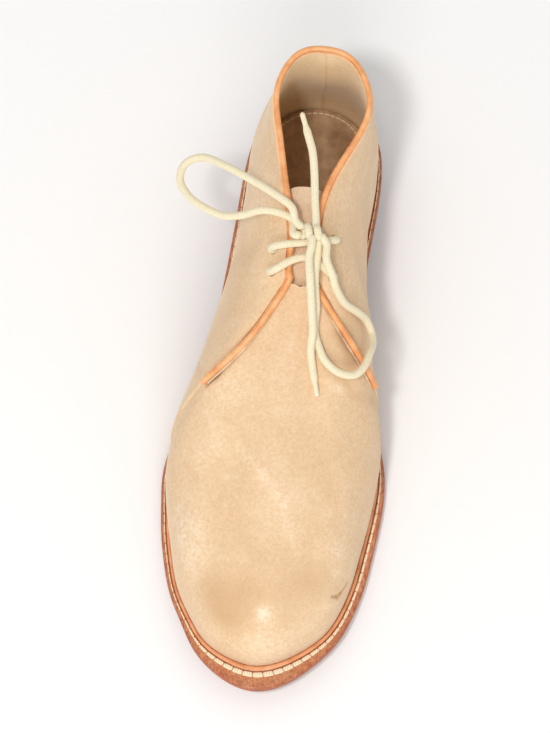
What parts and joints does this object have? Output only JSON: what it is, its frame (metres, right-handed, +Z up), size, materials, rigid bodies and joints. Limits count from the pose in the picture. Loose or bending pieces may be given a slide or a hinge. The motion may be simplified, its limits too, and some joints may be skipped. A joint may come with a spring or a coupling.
{
  "type": "chukka boot",
  "caption": "Low lace-up suede ankle boot for the right foot, with plain vamp, bound collar and facings, bow lace, welt and stacked heel.",
  "frame": {"origin": "middle of the sole's outline on the floor", "axes": "+Z up, toe towards -Y, inner side of the foot towards +X"},
  "size_m": [0.1173, 0.305, 0.1398],
  "materials": {
    "suede": "sand suede with a short nap, lined with suede",
    "tongue_suede": "sand suede",
    "piping_leather": "smooth orange-tan leather binding",
    "welt_leather": "smooth orange-tan leather, stitched",
    "edge_leather": "burnished sole leather",
    "insole_leather": "smooth tan leather",
    "heel_leather": "stacked and burnished leather",
    "heel_rubber": "matt rubber",
    "lace_cotton": "round waxed cotton lace"
  },
  "bodies": {
    "root": {"upper": "suede", "piping": "piping_leather", "tongue": "tongue_suede", "insole": "insole_leather", "welt": "welt_leather", "outsole": "edge_leather", "heel_lift_1": "heel_leather", "heel_lift_2": "heel_leather", "heel_lift_3": "heel_leather", "heel_top_piece": "heel_rubber", "lace_bar_upper": "lace_cotton", "lace_bar_lower": "lace_cotton", "lace_knot": "lace_cotton", "lace_loop_left": "lace_cotton", "lace_loop_right": "lace_cotton", "lace_end_up": "lace_cotton", "lace_end_down": "lace_cotton"}
  },
  "joints": []
}
